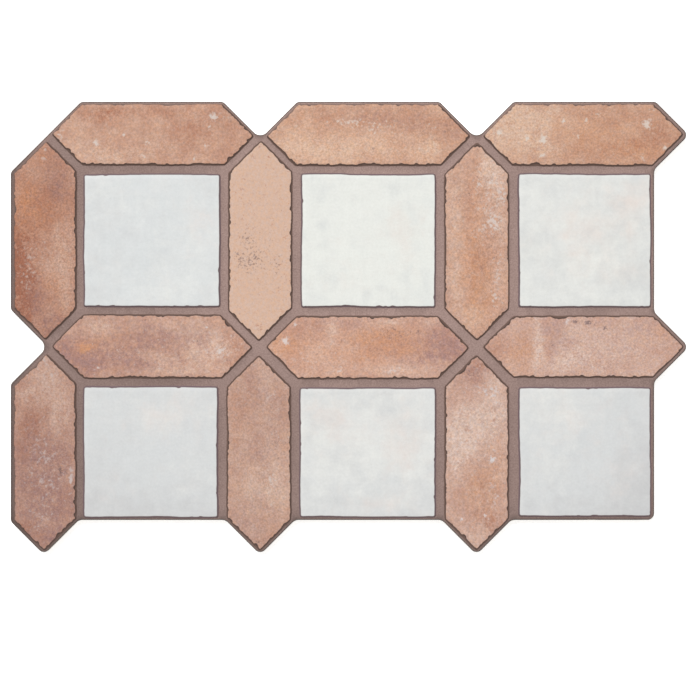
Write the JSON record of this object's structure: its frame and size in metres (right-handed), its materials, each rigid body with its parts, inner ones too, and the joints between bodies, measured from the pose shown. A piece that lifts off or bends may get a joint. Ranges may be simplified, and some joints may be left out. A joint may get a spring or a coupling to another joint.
{
  "type": "picket porcelain tile",
  "caption": "Interlocking porcelain floor and wall tile with raised terracotta-look pickets around off-white squares, recessed joints and a keyed back.",
  "frame": {"origin": "on the back plane, midway between the straight edges", "axes": "+X along the length, towards the end points; +Y across the width, away from the side points; +Z out of the face"},
  "size_m": [0.6, 0.3999, 0.0095],
  "materials": {
    "glazed_porcelain": "matte printed glaze, terracotta pickets, off-white squares and taupe joints"
  },
  "bodies": {
    "root": {"picket_tile": "glazed_porcelain"}
  },
  "joints": []
}
